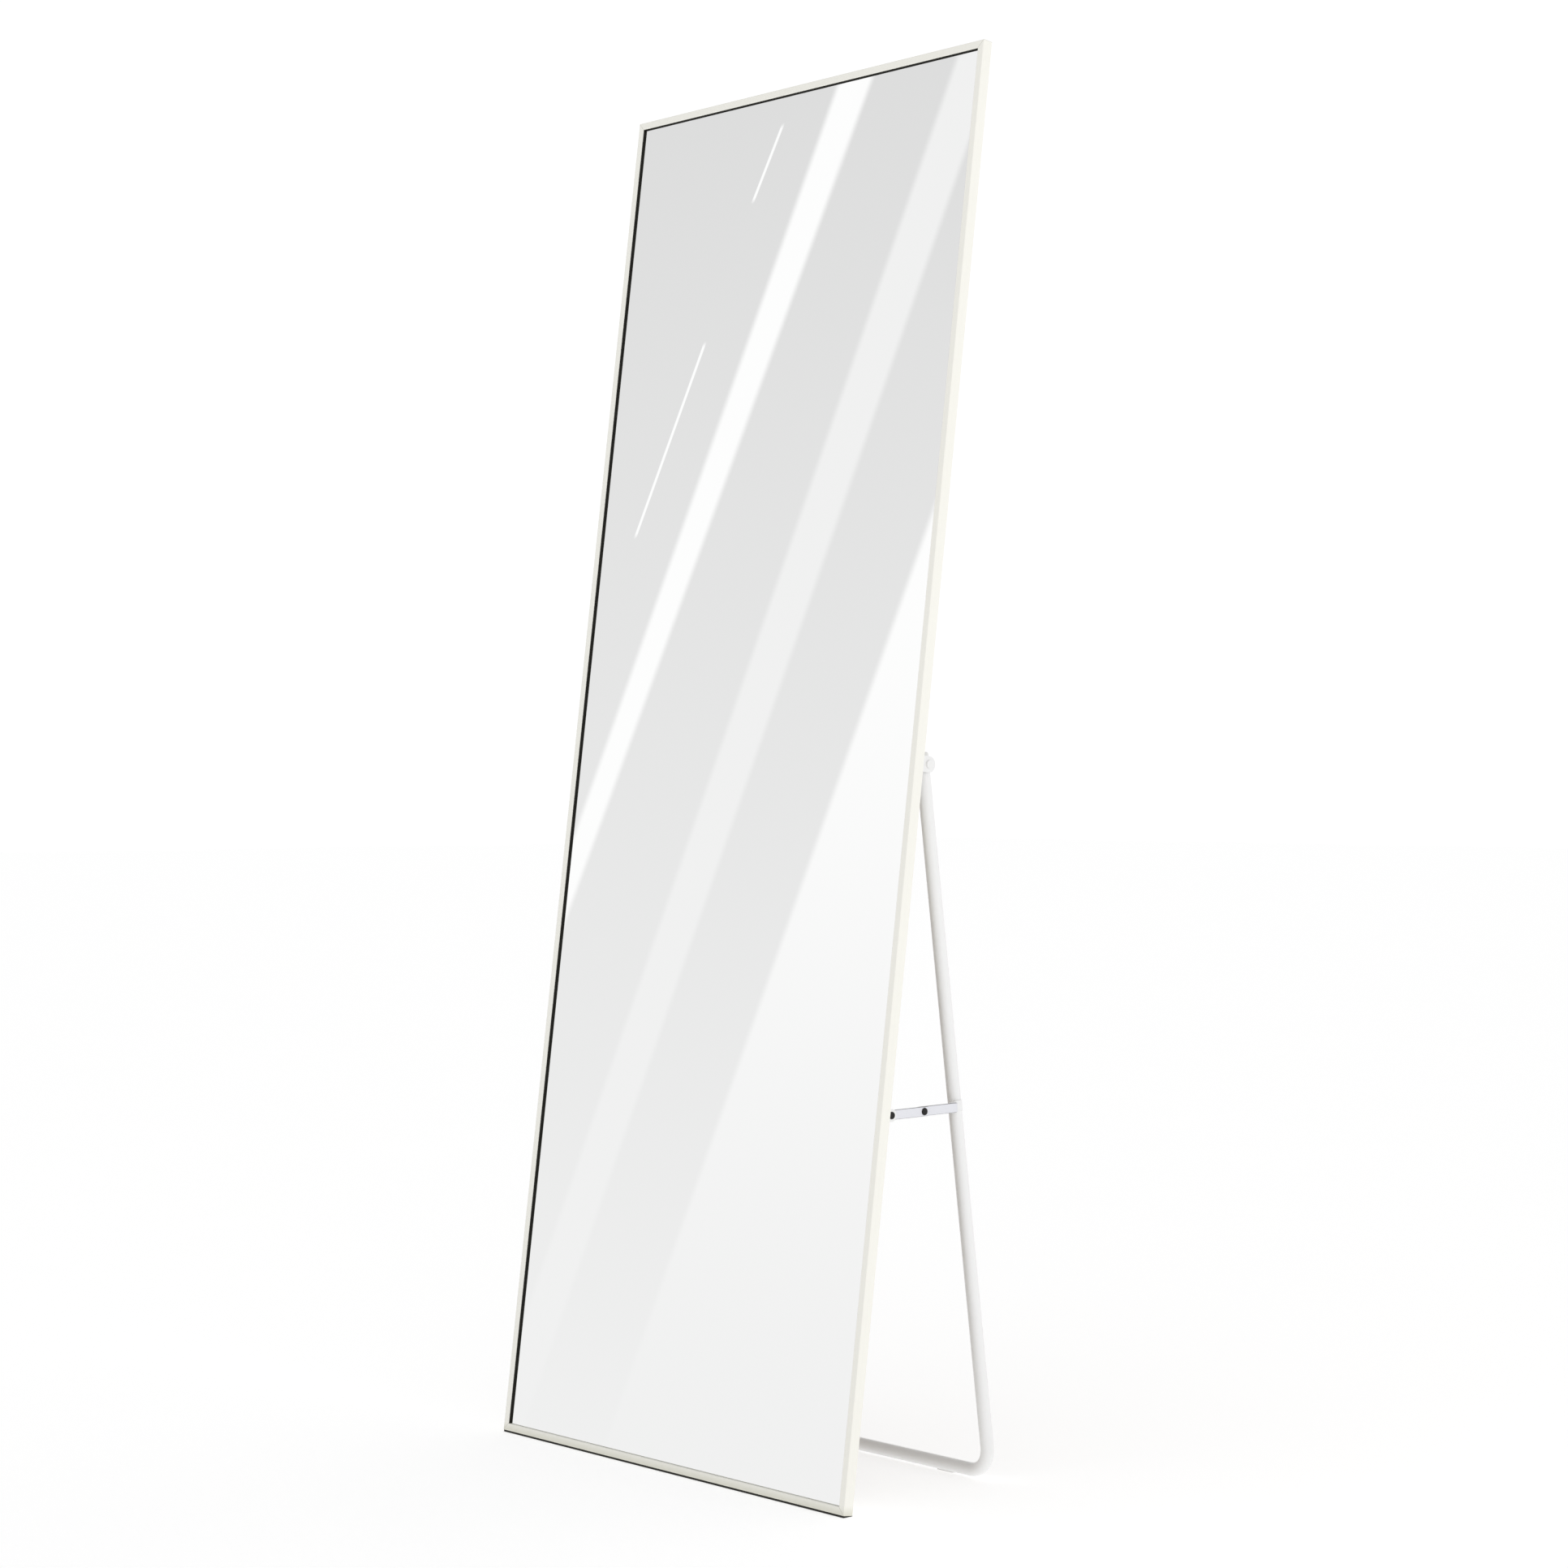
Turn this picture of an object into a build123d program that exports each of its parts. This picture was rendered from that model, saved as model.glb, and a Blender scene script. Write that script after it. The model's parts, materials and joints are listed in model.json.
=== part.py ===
"""Full-length floor mirror on a folding easel stand, in millimetres.

The mirror panel is drawn upright in its own frame: X across, Y from its front face to its back,
Z up its height, with the origin at the middle of its front bottom edge.  The stand is drawn
hanging straight down from its hinge axis.  Two placements then lean both into the standing pose,
with the origin of the finished part on the floor, under the middle of its bounding box.
"""
from build123d import *
from math import cos, radians, sin, tan
import os

os.makedirs("parts", exist_ok=True)

# Driving dimensions of the standing pose
PANEL_HEIGHT = 1600.0
PANEL_WIDTH = 600.0
PANEL_LEAN = 7.5
LEG_LEAN = 7.5
HINGE_UP = 803.0
HINGE_BACK = 36.0
LEG_X = 274.0

# Frame extrusion: a narrow lip round the glass and a wide hollow flange behind it
FRAME_DEPTH = 14.0
LIP_WIDTH = 8.5
FLANGE_WIDTH = 40.0
WALL = 1.3
LIP_OUTER_RADIUS = 0.9
LIP_INNER_RADIUS = 0.8
BACK_EDGE_RADIUS = 2.0
MITRE_CUTTER = (200, 60, 100)

# Glass and what backs it
GLASS_RECESS = 3.3
GLASS_THICKNESS = 4.0
GLASS_CHAMFER = 0.6
FILM_THICKNESS = 0.2
TAPE_THICKNESS = 0.2
TAPE_WIDTH = 22.0
GASKET_WIDTH = 0.6
GASKET_FRONT = 1.0
BOARD_THICKNESS = 3.0
BOARD_GAP = 0.4

# Rubber under the bottom edge, which is wedge shaped because the panel leans
STRIP_MIN_THICKNESS = 0.5
STRIP_INSET = 0.6

# Stand
TUBE_RADIUS = 7.5
TUBE_WALL = 1.2
TUBE_BEND = 30.0
TUBE_ABOVE_HINGE = 10.0
PLUG_STEM_LENGTH = 22.0
PLUG_CAP_HEIGHT = 3.0
PLUG_CAP_FILLET = 2.2
PAD_THICKNESS = 0.6
PAD_LENGTH = 26.0
PAD_WIDTH = 5.0
PAD_X = 205.0
PAD_RISE = 4.1
PAD_CORNER = 2.0

# Folding stay: front link, rear link and their three pivots
STAY_UP = 422.0
STAY_BACK = 24.5
FRONT_LINK_LENGTH = 50.88
LUG_DOWN = 376.6
LUG_FORWARD = 13.0
LINK_HEIGHT = 10.5
LINK_THICKNESS = 2.0
LINK_OVERHANG = 6.5
LINK_CORNER = 1.5
LINK_CHAMFER = 0.5
LUG_THICKNESS = 2.5
LUG_END_RADIUS = 6.0
LUG_ROOT = 3.0
LUG_HOLE_PLAY = 0.2
LUG_INNER_X = LEG_X + 6.3
LINK_GAP = 0.4
REAR_LINK_X = LUG_INNER_X + LUG_THICKNESS + LINK_GAP
FRONT_LINK_X = REAR_LINK_X + LINK_THICKNESS + LINK_GAP
STAY_EAR_X = FRONT_LINK_X + LINK_THICKNESS + LINK_GAP

# Brackets
PLATE = 2.0
EAR_GAP = 8.6
HINGE_EAR_RADIUS = 9.0
HINGE_PLATE_LENGTH = 92.0
HINGE_PLATE_CORNER = 5.0
STAY_EAR_RADIUS = 7.0
STAY_PLATE_LENGTH = 40.0
STAY_PLATE_WIDTH = 24.0
STAY_PLATE_CORNER = 3.0
BACKING_HALF_WIDTH = 11.0
HINGE_BACKING_LENGTH = 110.0
STAY_BACKING_LENGTH = 46.0

# Pins, rivets and screws
PIN_RADIUS = 2.5
PIN_HEAD_RADIUS = 4.6
PIN_HEAD_HEIGHT = 1.8
PIN_TAIL_RADIUS = 3.8
PIN_TAIL_HEIGHT = 1.5
WASHER_RADIUS = 6.0
WASHER_THICKNESS = 0.8
RIVET_RADIUS = 2.0
RIVET_HEAD_RADIUS = 4.0
RIVET_TAIL_RADIUS = 3.2
RIVET_DOME = 0.7
FRAME_RIVET_HEAD = 1.4
CENTRE_RIVET_HEAD = 1.6
CENTRE_RIVET_TAIL = 0.8
CENTRE_RIVET_STAND_OFF = 0.1
RUNNING_CLEARANCE = 0.06
SCREW_RADIUS = 1.8
SCREW_HEAD_RADIUS = 3.6
SCREW_HEAD_HEIGHT = 2.0
SCREW_LENGTH = 4.0
SCREW_HEAD_FILLET = 0.8
CROSS_DEPTH = 1.1
CROSS_HALF_LENGTH = 2.0
CROSS_HALF_WIDTH = 0.4
THROUGH = 30.0

# Rubber stops that the folded crossbar rests on
BUMPER_X = 150.0
BUMPER_UP = 11.0
BUMPER_HEIGHT = 17.3
BUMPER_RADIUS = 9.0
BUMPER_TAPER = 2.5
BUMPER_FILLET = 2.0

# Keyhole plates that hang the mirror on a wall instead
HANGER_HALF_LENGTH = 27.0
HANGER_HALF_HEIGHT = 9.0
HANGER_CORNER = 5.0
KEYHOLE_RADIUS = 4.5
KEYHOLE_DOWN = 3.0
SHANK_SLOT_RADIUS = 2.2
SHANK_SLOT_UP = 4.0
HANGER_SCREW_OFFSETS = (-19, 19)

# Derived heights and placements
GLASS_BACK = GLASS_RECESS + GLASS_THICKNESS
FILM_BACK = GLASS_BACK + FILM_THICKNESS
LEDGE = FILM_BACK + TAPE_THICKNESS
FLOOR_DROP = FRAME_DEPTH * sin(radians(PANEL_LEAN)) + STRIP_MIN_THICKNESS
HINGE_Y = HINGE_UP * sin(radians(PANEL_LEAN)) + HINGE_BACK * cos(radians(PANEL_LEAN))
HINGE_Z = HINGE_UP * cos(radians(PANEL_LEAN)) - HINGE_BACK * sin(radians(PANEL_LEAN)) + FLOOR_DROP
LEG_LENGTH = (HINGE_Z - TUBE_RADIUS - PAD_THICKNESS) / cos(radians(LEG_LEAN))
CROSSBAR_Y = HINGE_Y + LEG_LENGTH * sin(radians(LEG_LEAN))
DEPTH = CROSSBAR_Y + TUBE_RADIUS
PANEL_PLACE = Pos(0, -DEPTH / 2, FLOOR_DROP) * Rot(-PANEL_LEAN, 0, 0)
STAND_PLACE = Pos(0, HINGE_Y - DEPTH / 2, HINGE_Z) * Rot(LEG_LEAN, 0, 0)


def save(name, shapes, place):
    """Write the solids of one sub-part, placed in the standing pose."""
    solids = [solid for shape in shapes for solid in (place * shape).solids()]
    result = solids[0] if len(solids) == 1 else Compound(children=solids)
    export_step(result, f"parts/{name}.step")


def block(x, y, z):
    """A box from three (low, high) pairs."""
    size = [high - low for low, high in (x, y, z)]
    middle = [(high + low) / 2 for low, high in (x, y, z)]
    return Pos(*middle) * Box(*size)


def rod(axis, radius, start, end, across):
    """A round bar along X or Y; across holds its other two coordinates, in order."""
    if axis == "X":
        place = Pos((start + end) / 2, across[0], across[1]) * Rot(0, 90, 0)
    else:
        place = Pos(across[0], (start + end) / 2, across[1]) * Rot(90, 0, 0)
    return place * Cylinder(radius, end - start)


def plate_yz(outline, x_low, thickness):
    """A flat plate that stands in a YZ plane, from an outline drawn as (y, z)."""
    plane = Plane(origin=(x_low, 0, 0), x_dir=(0, 1, 0), z_dir=(1, 0, 0))
    return extrude(plane * outline, thickness)


def mirrored(shape, side):
    """The shape as drawn on the right side, or its mirror image on the left."""
    return shape if side > 0 else mirror(shape, about=Plane.YZ)


def pan_screw(x, z, seat, length=SCREW_LENGTH):
    """A cross-head screw driven forwards from a seat on the back of the panel."""
    head = rod("Y", SCREW_HEAD_RADIUS, seat, seat + SCREW_HEAD_HEIGHT, (x, z))
    head = fillet(head.edges().group_by(Axis.Y)[-1], SCREW_HEAD_FILLET)
    shank = rod("Y", SCREW_RADIUS, seat - length, seat, (x, z))
    top = seat + SCREW_HEAD_HEIGHT
    depth = (top - CROSS_DEPTH, top + CROSS_DEPTH)
    long, wide = CROSS_HALF_LENGTH, CROSS_HALF_WIDTH
    cross = block((x - long, x + long), depth, (z - wide, z + wide))
    cross += block((x - wide, x + wide), depth, (z - long, z + long))
    return head + shank - cross


def screw_holes(points):
    """Holes through the back wall of the frame and whatever lies behind it."""
    return [rod("Y", SCREW_RADIUS, LEDGE + WALL, THROUGH, point) for point in points]


# ---------------------------------------------------------------- frame
def frame_profile():
    """Section of the extrusion: first axis inwards from the outer face, second one backwards."""
    outline = Polyline(
        (0, 0), (LIP_WIDTH, 0), (LIP_WIDTH, LEDGE), (FLANGE_WIDTH, LEDGE),
        (FLANGE_WIDTH, FRAME_DEPTH), (0, FRAME_DEPTH), close=True,
    )
    face = make_face(outline)
    face = fillet(face.vertices().filter_by(lambda v: v.X < 0.1 and v.Y < 0.1), LIP_OUTER_RADIUS)
    face = fillet(
        face.vertices().filter_by(lambda v: abs(v.X - LIP_WIDTH) < 0.1 and v.Y < 0.1), LIP_INNER_RADIUS
    )
    face = fillet(
        face.vertices().filter_by(lambda v: v.X < 0.1 and v.Y > FRAME_DEPTH - 0.1), BACK_EDGE_RADIUS
    )
    lip_room = LIP_WIDTH - 2 * WALL
    lip_depth = FRAME_DEPTH - 2 * WALL
    face -= Pos(WALL + lip_room / 2, WALL + lip_depth / 2) * Rectangle(lip_room, lip_depth)
    flange_room = FLANGE_WIDTH - WALL - LIP_WIDTH
    flange_depth = FRAME_DEPTH - LEDGE - 2 * WALL
    face -= Pos(LIP_WIDTH + flange_room / 2, LEDGE + WALL + flange_depth / 2) * Rectangle(
        flange_room, flange_depth
    )
    return face


def mitred_member(length):
    """A frame member along +Z with its outer face at X = 0, its inside towards +X."""
    plane = Plane(origin=(0, 0, 0), x_dir=(1, 0, 0), z_dir=(0, 0, -1))
    bar = extrude(plane * mirror(frame_profile(), about=Plane.XZ), -length)
    for end, turn in ((0.0, 45), (length, -45)):
        side = Align.MAX if end == 0 else Align.MIN
        cutter = Box(*MITRE_CUTTER, align=(Align.CENTER, Align.CENTER, side))
        bar -= Pos(0, 0, end) * Rot(0, -turn, 0) * cutter
    return bar


KEY_FROM = LIP_WIDTH + 1.0
KEY_TO = FLANGE_WIDTH - WALL - 0.5
KEY_LEG = 95.0
KEY_MIDDLE = (KEY_FROM + KEY_TO) / 2
KEY_SCREWS = [(KEY_MIDDLE, 55), (KEY_MIDDLE, 82), (55, KEY_MIDDLE), (82, KEY_MIDDLE)]
INSIDE_FLANGE = (LEDGE + WALL + 0.1, FRAME_DEPTH - WALL - 0.05)


def corner_point(side, top, inward, along):
    """Panel X and Z of a point given by its distances from one corner's two outer faces."""
    x = side * (PANEL_WIDTH / 2 - inward)
    z = PANEL_HEIGHT - along if top else along
    return x, z


def corner_key(side, top):
    """Flat steel angle that joins two members inside their flanges."""
    key = block((KEY_FROM, KEY_LEG), INSIDE_FLANGE, (KEY_FROM, KEY_TO))
    key += block((KEY_FROM, KEY_TO), INSIDE_FLANGE, (KEY_FROM, KEY_LEG))
    for inward, along in KEY_SCREWS:
        key -= rod("Y", SCREW_RADIUS, 0, 20, (inward, along))
    key = Pos(-PANEL_WIDTH / 2, 0, 0) * key
    if top:
        key = mirror(key, about=Plane.XY.offset(PANEL_HEIGHT / 2))
    return mirror(key, about=Plane.YZ) if side > 0 else key


# ---------------------------------------------------------------- screw places on the panel's back
HINGE_SCREWS = [(LEG_X, HINGE_UP + offset) for offset in (-36, -24, 24, 36)]
STAY_SCREW_X = STAY_EAR_X - 14.0
STAY_SCREWS = [(STAY_SCREW_X, STAY_UP + offset) for offset in (-13, 13)]
CLIP_LENGTH = 34.0
CLIP_WIDTH = 14.0
CLIP_THICKNESS = 1.2
CLIP_OUTWARD = 8.0
CLIP_CORNER = 4.0
CLIP_SCREW_BITE = 3.0
CLIP_SCREW_IN = 30.0
CLIP_HEIGHTS = (180, 560, 1060, 1440)
CLIP_COLUMNS = (-60, 60)
HANGER_X = 150.0
HANGER_UP = PANEL_HEIGHT - 22.0


def clip_places():
    """Screw position of each board clip with the direction that points inwards to the board."""
    places = []
    for height in CLIP_HEIGHTS:
        for side in (-1, 1):
            places.append((side * (PANEL_WIDTH / 2 - CLIP_SCREW_IN), height, -side, 0))
    for column in CLIP_COLUMNS:
        places.append((column, CLIP_SCREW_IN, 0, 1))
        places.append((column, PANEL_HEIGHT - CLIP_SCREW_IN, 0, -1))
    return places


HANGER_SCREWS = [(side * HANGER_X + offset, HANGER_UP) for side in (-1, 1) for offset in HANGER_SCREW_OFFSETS]
KEY_SCREW_POINTS = [
    corner_point(side, top, *spot) for side in (-1, 1) for top in (False, True) for spot in KEY_SCREWS
]
BRACKET_POINTS = [(side * x, z) for side in (-1, 1) for x, z in HINGE_SCREWS + STAY_SCREWS]
CLIP_POINTS = [(x, z) for x, z, _, _ in clip_places()]
ALL_SCREWS = KEY_SCREW_POINTS + BRACKET_POINTS + CLIP_POINTS + HANGER_SCREWS


def hanger_pocket(x):
    """Room behind a keyhole plate for the head of a wall screw to drop in and slide up."""
    depth = (LEDGE + WALL, FRAME_DEPTH + 1)
    pocket = rod("Y", 5.5, *depth, (x, HANGER_UP - 3)) + rod("Y", 5.5, *depth, (x, HANGER_UP + 4))
    return pocket + block((x - 5.5, x + 5.5), depth, (HANGER_UP - 3, HANGER_UP + 4))


def make_frame():
    side_member = mitred_member(PANEL_HEIGHT)
    end_member = mitred_member(PANEL_WIDTH)
    members = {
        "left_frame_member": Pos(-PANEL_WIDTH / 2, 0, 0) * side_member,
        "right_frame_member": mirror(Pos(-PANEL_WIDTH / 2, 0, 0) * side_member, about=Plane.YZ),
        "bottom_frame_member": Pos(PANEL_WIDTH / 2, 0, 0) * Rot(0, -90, 0) * end_member,
        "top_frame_member": Pos(-PANEL_WIDTH / 2, 0, PANEL_HEIGHT) * Rot(0, 90, 0) * end_member,
    }
    members["top_frame_member"] -= [hanger_pocket(side * HANGER_X) for side in (-1, 1)]
    for name, member in members.items():
        save(name, [member - screw_holes(ALL_SCREWS)], PANEL_PLACE)
    keys = [corner_key(side, top) for side in (-1, 1) for top in (False, True)]
    save("corner_keys", keys, PANEL_PLACE)
    screws = [pan_screw(x, z, FRAME_DEPTH) for x, z in KEY_SCREW_POINTS]
    save("corner_key_screws", screws, PANEL_PLACE)


# ---------------------------------------------------------------- glass and back
def panel_slab(inset, front, back, foot=None):
    """A flat slab, an even distance inside the outer edge of the frame; foot sets its bottom edge."""
    half = PANEL_WIDTH / 2 - inset
    low = inset if foot is None else foot
    return block((-half, half), (front, back), (low, PANEL_HEIGHT - inset))


def make_glass_and_back():
    glass_inset = LIP_WIDTH + GASKET_WIDTH
    board_inset = FLANGE_WIDTH + BOARD_GAP
    # The glass stands on the bottom member, so the gasket closes only its two sides and its top
    glass = panel_slab(glass_inset, GLASS_RECESS, GLASS_BACK, LIP_WIDTH)
    glass = chamfer(glass.edges().group_by(Axis.Y)[0], GLASS_CHAMFER)
    save("mirror_glass", [glass], PANEL_PLACE)
    film = panel_slab(glass_inset, GLASS_BACK, FILM_BACK, LIP_WIDTH)
    save("silvering_and_safety_film", [film], PANEL_PLACE)
    gasket = panel_slab(LIP_WIDTH, GASKET_FRONT, LEDGE) - panel_slab(glass_inset, 0, LEDGE + 1, 0)
    save("glazing_gasket", [gasket], PANEL_PLACE)
    tape_inset = glass_inset + 3
    tape = panel_slab(tape_inset, FILM_BACK, LEDGE) - panel_slab(tape_inset + TAPE_WIDTH, 0, LEDGE + 1)
    save("bonding_tape", [tape], PANEL_PLACE)
    board_front = FRAME_DEPTH - BOARD_THICKNESS
    save("corrugated_filler_sheet", [panel_slab(board_inset + 1, FILM_BACK, board_front)], PANEL_PLACE)
    board = panel_slab(board_inset, board_front, FRAME_DEPTH)
    save("back_board", [board], PANEL_PLACE)


def board_clip(x, z, inward_x, inward_z):
    """Flat spring clip: screwed to the frame, with a tongue that holds the back board."""
    outward = CLIP_OUTWARD
    inward = CLIP_LENGTH - outward
    half = CLIP_WIDTH / 2
    if inward_x:
        x_span = sorted((x - inward_x * outward, x + inward_x * inward))
        z_span = (z - half, z + half)
    else:
        x_span = (x - half, x + half)
        z_span = sorted((z - inward_z * outward, z + inward_z * inward))
    clip = block(x_span, (FRAME_DEPTH, FRAME_DEPTH + CLIP_THICKNESS), z_span)
    clip = fillet(clip.edges().filter_by(Axis.Y), CLIP_CORNER)
    return clip - rod("Y", SCREW_RADIUS, 0, THROUGH, (x, z))


def make_board_clips():
    save("board_clips", [board_clip(*place) for place in clip_places()], PANEL_PLACE)
    seat = FRAME_DEPTH + CLIP_THICKNESS
    screws = [pan_screw(x, z, seat, CLIP_THICKNESS + CLIP_SCREW_BITE) for x, z in CLIP_POINTS]
    save("board_clip_screws", screws, PANEL_PLACE)


# ---------------------------------------------------------------- wall hangers, strip and bumpers
def hanger_plate(x):
    """Keyhole plate: a round hole for a screw head and a slot above it for the shank."""
    x_span = (x - HANGER_HALF_LENGTH, x + HANGER_HALF_LENGTH)
    z_span = (HANGER_UP - HANGER_HALF_HEIGHT, HANGER_UP + HANGER_HALF_HEIGHT)
    plate = block(x_span, (FRAME_DEPTH, FRAME_DEPTH + PLATE), z_span)
    plate = fillet(plate.edges().filter_by(Axis.Y), HANGER_CORNER)
    keyhole, slot_top = HANGER_UP - KEYHOLE_DOWN, HANGER_UP + SHANK_SLOT_UP
    plate -= rod("Y", KEYHOLE_RADIUS, 0, THROUGH, (x, keyhole))
    plate -= block((x - SHANK_SLOT_RADIUS, x + SHANK_SLOT_RADIUS), (0, THROUGH), (keyhole, slot_top))
    plate -= rod("Y", SHANK_SLOT_RADIUS, 0, THROUGH, (x, slot_top))
    for offset in HANGER_SCREW_OFFSETS:
        plate -= rod("Y", SCREW_RADIUS, 0, THROUGH, (x + offset, HANGER_UP))
    return plate


def make_wall_hangers():
    save("wall_hanger_plates", [hanger_plate(side * HANGER_X) for side in (-1, 1)], PANEL_PLACE)
    screws = [pan_screw(x, z, FRAME_DEPTH + PLATE, PLATE + CLIP_SCREW_BITE) for x, z in HANGER_SCREWS]
    save("wall_hanger_screws", screws, PANEL_PLACE)


def make_anti_slip_strip():
    """Wedge of rubber between the leaning bottom edge and the floor."""
    front = STRIP_INSET
    back = FRAME_DEPTH - STRIP_INSET
    lean = radians(PANEL_LEAN)
    outline = Polyline(
        (front * cos(lean), -front * sin(lean)),
        (back * cos(lean), -back * sin(lean)),
        (back * cos(lean), -FLOOR_DROP),
        (front * cos(lean), -FLOOR_DROP),
        close=True,
    )
    half = PANEL_WIDTH / 2 - STRIP_INSET
    strip = plate_yz(make_face(outline), -half, 2 * half)
    save("anti_slip_strip", [strip], Pos(0, -DEPTH / 2, FLOOR_DROP))


def make_bumpers():
    bumpers = []
    for side in (-1, 1):
        place = Pos(side * BUMPER_X, FRAME_DEPTH + BUMPER_HEIGHT / 2, BUMPER_UP) * Rot(-90, 0, 0)
        bumper = place * Cone(BUMPER_RADIUS, BUMPER_RADIUS - BUMPER_TAPER, BUMPER_HEIGHT)
        bumpers.append(fillet(bumper.edges().group_by(Axis.Y)[-1], BUMPER_FILLET))
    save("folded_stand_bumpers", bumpers, PANEL_PLACE)


# ---------------------------------------------------------------- hinge of the stand
def rounded_ear(center_y, center_z, radius, root_y):
    """Outline of an ear: as wide as its round end, down to where it leaves its base plate."""
    outline = Pos((center_y + root_y) / 2, center_z) * Rectangle(center_y - root_y, 2 * radius)
    return outline + Pos(center_y, center_z) * Circle(radius)


def hinge_bracket():
    """Steel channel: a base on the frame with two ears that hold the pin."""
    outer = EAR_GAP + PLATE
    base = block(
        (LEG_X - outer, LEG_X + outer),
        (FRAME_DEPTH, FRAME_DEPTH + PLATE),
        (HINGE_UP - HINGE_PLATE_LENGTH / 2, HINGE_UP + HINGE_PLATE_LENGTH / 2),
    )
    bracket = fillet(base.edges().filter_by(Axis.Y), HINGE_PLATE_CORNER)
    ear = rounded_ear(HINGE_BACK, HINGE_UP, HINGE_EAR_RADIUS, FRAME_DEPTH)
    bracket += plate_yz(ear, LEG_X - outer, PLATE)
    bracket += plate_yz(ear, LEG_X + EAR_GAP, PLATE)
    bracket -= rod("X", PIN_RADIUS, 0, PANEL_WIDTH, (HINGE_BACK, HINGE_UP))
    for x, z in HINGE_SCREWS:
        bracket -= rod("Y", SCREW_RADIUS, 0, THROUGH, (x, z))
    return bracket


def hinge_pin():
    """Headed pin, upset at its inner end, through both ears and the tube."""
    reach = EAR_GAP + PLATE
    center = (HINGE_BACK, HINGE_UP)
    end = reach + PIN_TAIL_HEIGHT
    pin = rod("X", PIN_RADIUS, LEG_X - end, LEG_X + end, center)
    pin += rod("X", PIN_HEAD_RADIUS, LEG_X + reach, LEG_X + reach + PIN_HEAD_HEIGHT, center)
    pin += rod("X", PIN_TAIL_RADIUS, LEG_X - end, LEG_X - reach, center)
    return pin


def hinge_washers():
    washers = []
    center = (HINGE_BACK, HINGE_UP)
    for low in (LEG_X - EAR_GAP, LEG_X + EAR_GAP - WASHER_THICKNESS):
        washer = rod("X", WASHER_RADIUS, low, low + WASHER_THICKNESS, center)
        washers.append(washer - rod("X", PIN_RADIUS, 0, PANEL_WIDTH, center))
    return washers


def backing_plate(points, length, middle):
    """Steel plate inside the flange that the bracket's screws bite into."""
    x_span = (LEG_X - BACKING_HALF_WIDTH, LEG_X + BACKING_HALF_WIDTH)
    plate = block(x_span, INSIDE_FLANGE, (middle - length / 2, middle + length / 2))
    for x, z in points:
        plate -= rod("Y", SCREW_RADIUS, 0, THROUGH, (x, z))
    return plate


def make_hinges():
    for name, side in (("left", -1), ("right", 1)):
        save(f"{name}_hinge_bracket", [mirrored(hinge_bracket(), side)], PANEL_PLACE)
        save(f"{name}_hinge_pin", [mirrored(hinge_pin(), side)], PANEL_PLACE)
        save(f"{name}_hinge_washers", [mirrored(w, side) for w in hinge_washers()], PANEL_PLACE)
    seat = FRAME_DEPTH + PLATE
    screws = [pan_screw(side * x, z, seat, PLATE + SCREW_LENGTH) for side in (-1, 1) for x, z in HINGE_SCREWS]
    save("hinge_bracket_screws", screws, PANEL_PLACE)
    plate = backing_plate(HINGE_SCREWS, HINGE_BACKING_LENGTH, HINGE_UP)
    save("hinge_backing_plates", [mirrored(plate, side) for side in (-1, 1)], PANEL_PLACE)


# ---------------------------------------------------------------- stand
def stand_path(radius):
    """Centre line of the bent tube, from one hinge down, across and up to the other."""
    top = TUBE_ABOVE_HINGE
    return FilletPolyline(
        (-LEG_X, 0, top), (-LEG_X, 0, -LEG_LENGTH), (LEG_X, 0, -LEG_LENGTH), (LEG_X, 0, top), radius=radius
    )


def stand_tube():
    path = stand_path(TUBE_BEND)
    section = Plane(origin=path @ 0, z_dir=path % 0)
    outer = sweep(section * Circle(TUBE_RADIUS), path=path)
    inner = sweep(section * Circle(TUBE_RADIUS - TUBE_WALL), path=path)
    tube = outer - inner
    for side in (-1, 1):
        x = side * LEG_X
        tube -= rod("X", PIN_RADIUS + RUNNING_CLEARANCE, x - THROUGH, x + THROUGH, (0, 0))
    return tube


def tube_plug(side):
    """Plastic plug with a domed cap that closes the top of a leg."""
    x = side * LEG_X
    stem_middle = TUBE_ABOVE_HINGE - PLUG_STEM_LENGTH / 2
    stem = Pos(x, 0, stem_middle) * Cylinder(TUBE_RADIUS - TUBE_WALL, PLUG_STEM_LENGTH)
    cap = Pos(x, 0, TUBE_ABOVE_HINGE + PLUG_CAP_HEIGHT / 2) * Cylinder(TUBE_RADIUS, PLUG_CAP_HEIGHT)
    cap = fillet(cap.edges().group_by(Axis.Z)[-1], PLUG_CAP_FILLET)
    hole = rod("X", PIN_RADIUS + RUNNING_CLEARANCE, x - THROUGH, x + THROUGH, (0, 0))
    return stem + cap - hole


def stay_lug():
    """Tab welded to the outer side of a leg, grooved to sit on the tube."""
    outline = rounded_ear(LUG_FORWARD, -LUG_DOWN, LUG_END_RADIUS, -LUG_ROOT)
    outline = mirror(outline, about=Plane.YZ)
    lug = plate_yz(outline, LUG_INNER_X, LUG_THICKNESS)
    lug -= Pos(LEG_X, 0, -LUG_DOWN) * Cylinder(TUBE_RADIUS, THROUGH)
    hole = RIVET_RADIUS + LUG_HOLE_PLAY
    return lug - rod("X", hole, LUG_INNER_X, LUG_INNER_X + LUG_THICKNESS, (-LUG_FORWARD, -LUG_DOWN))


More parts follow.
